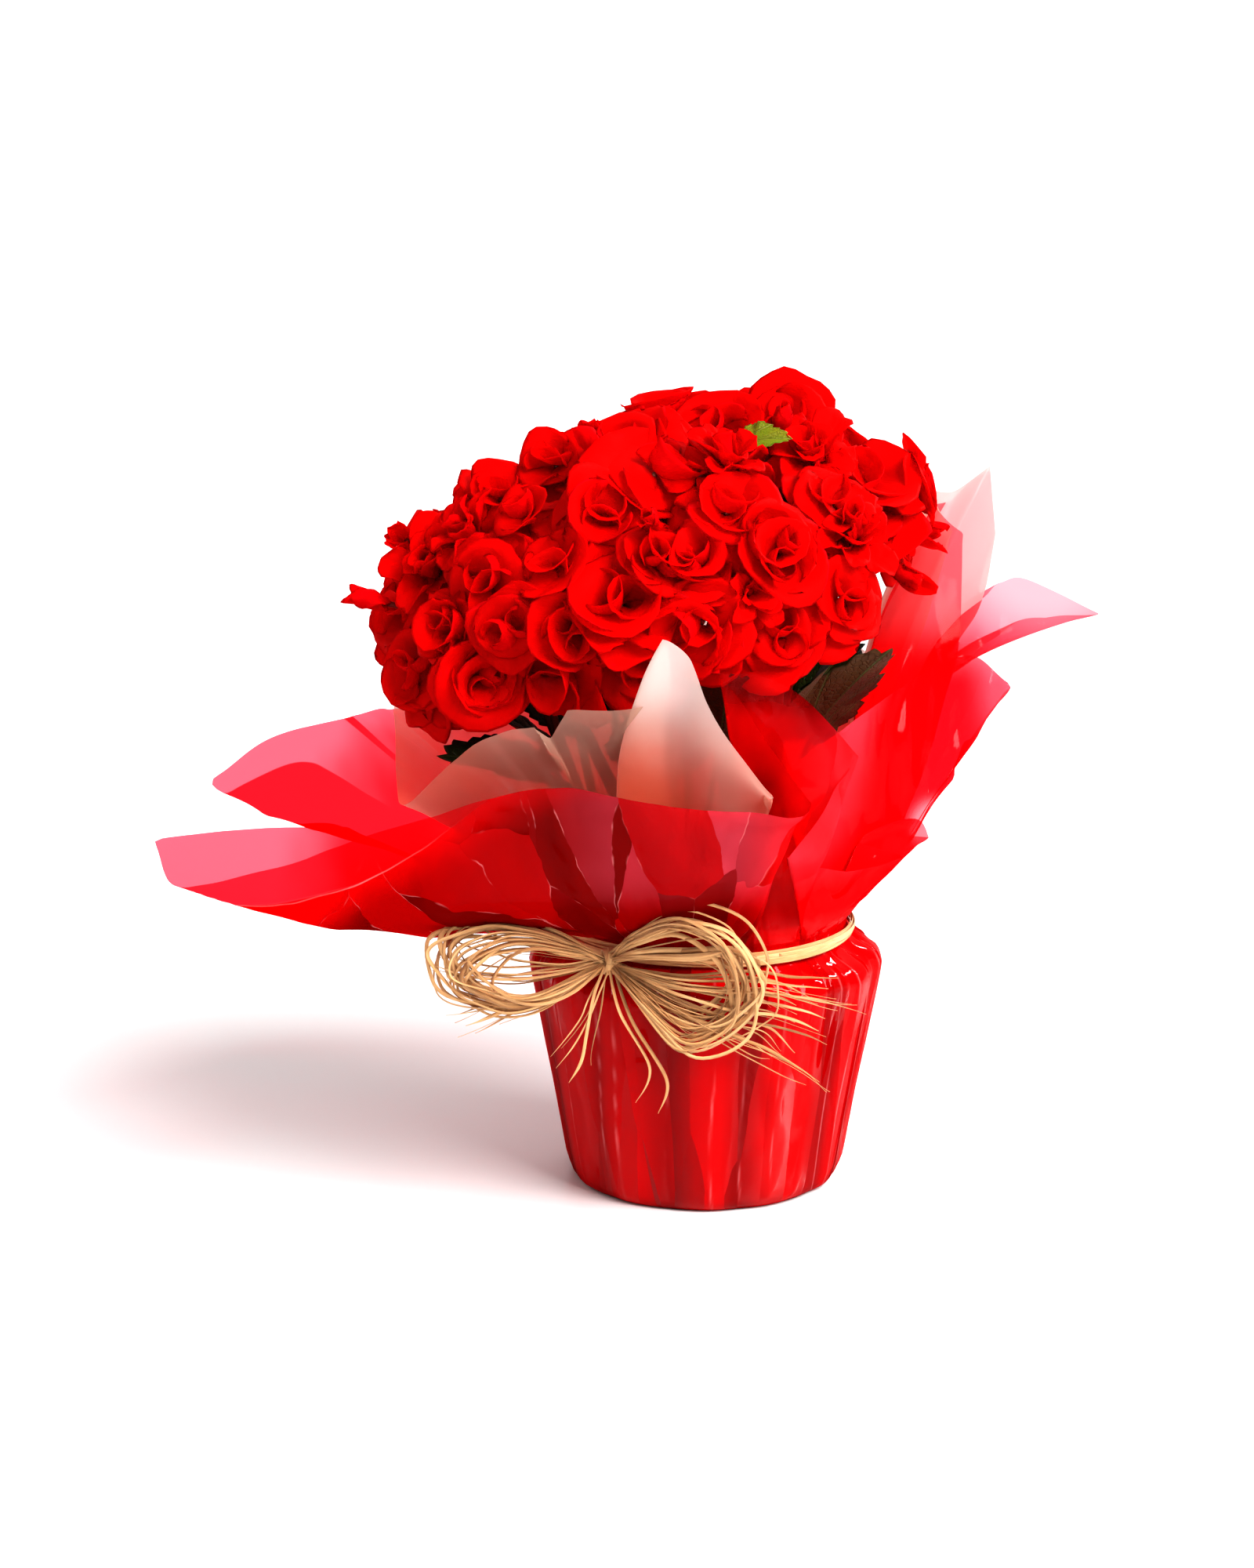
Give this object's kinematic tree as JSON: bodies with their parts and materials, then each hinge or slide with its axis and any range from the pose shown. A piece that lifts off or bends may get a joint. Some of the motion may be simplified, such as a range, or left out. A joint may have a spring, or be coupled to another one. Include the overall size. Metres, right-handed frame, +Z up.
{
  "type": "potted begonia",
  "caption": "Potted double red begonia: a dome of rosette flowers over toothed leaves, in a pot wrapped in gathered red film over a milky liner and tied with a raffia bow.",
  "frame": {"origin": "middle of the flat underside of the wrapped pot", "axes": "+Z up along the pot's axis, +X to the right of the front (bow) side, +Y to the back"},
  "size_m": [0.4263, 0.2876, 0.3603],
  "materials": {
    "film_outer": "gloss",
    "film_liner": "satin",
    "pot": "matte",
    "soil": "matte",
    "flowers_right": "satin",
    "flowers_back_right": "satin",
    "flowers_right_front": "satin",
    "flowers_right_high": "satin",
    "flowers_back_high": "satin",
    "flowers_back": "satin",
    "flowers_top": "satin",
    "flowers_front_right": "satin",
    "flowers_front_high": "satin",
    "flowers_left_high": "satin",
    "flowers_back_left": "satin",
    "flowers_front_left": "satin",
    "flowers_left_top": "satin",
    "flowers_left_back": "satin",
    "flowers_left_front": "satin",
    "flowers_left": "satin",
    "leafy_stem_front": "satin",
    "leafy_stem_right": "satin",
    "leafy_stem_back": "satin",
    "leafy_stem_far": "satin",
    "leafy_stem_left": "satin",
    "leaf_young": "satin",
    "raffia_tie": "matte",
    "raffia_bow": "matte"
  },
  "bodies": {
    "root": {"film_outer": "film_outer", "film_liner": "film_liner", "pot": "pot", "soil": "soil", "flowers_right": "flowers_right", "flowers_back_right": "flowers_back_right", "flowers_right_front": "flowers_right_front", "flowers_right_high": "flowers_right_high", "flowers_back_high": "flowers_back_high", "flowers_back": "flowers_back", "flowers_top": "flowers_top", "flowers_front_right": "flowers_front_right", "flowers_front_high": "flowers_front_high", "flowers_left_high": "flowers_left_high", "flowers_back_left": "flowers_back_left", "flowers_front_left": "flowers_front_left", "flowers_left_top": "flowers_left_top", "flowers_left_back": "flowers_left_back", "flowers_left_front": "flowers_left_front", "flowers_left": "flowers_left", "leafy_stem_front": "leafy_stem_front", "leafy_stem_right": "leafy_stem_right", "leafy_stem_back": "leafy_stem_back", "leafy_stem_far": "leafy_stem_far", "leafy_stem_left": "leafy_stem_left", "leaf_young": "leaf_young", "raffia_tie": "raffia_tie", "raffia_bow": "raffia_bow"}
  },
  "joints": []
}
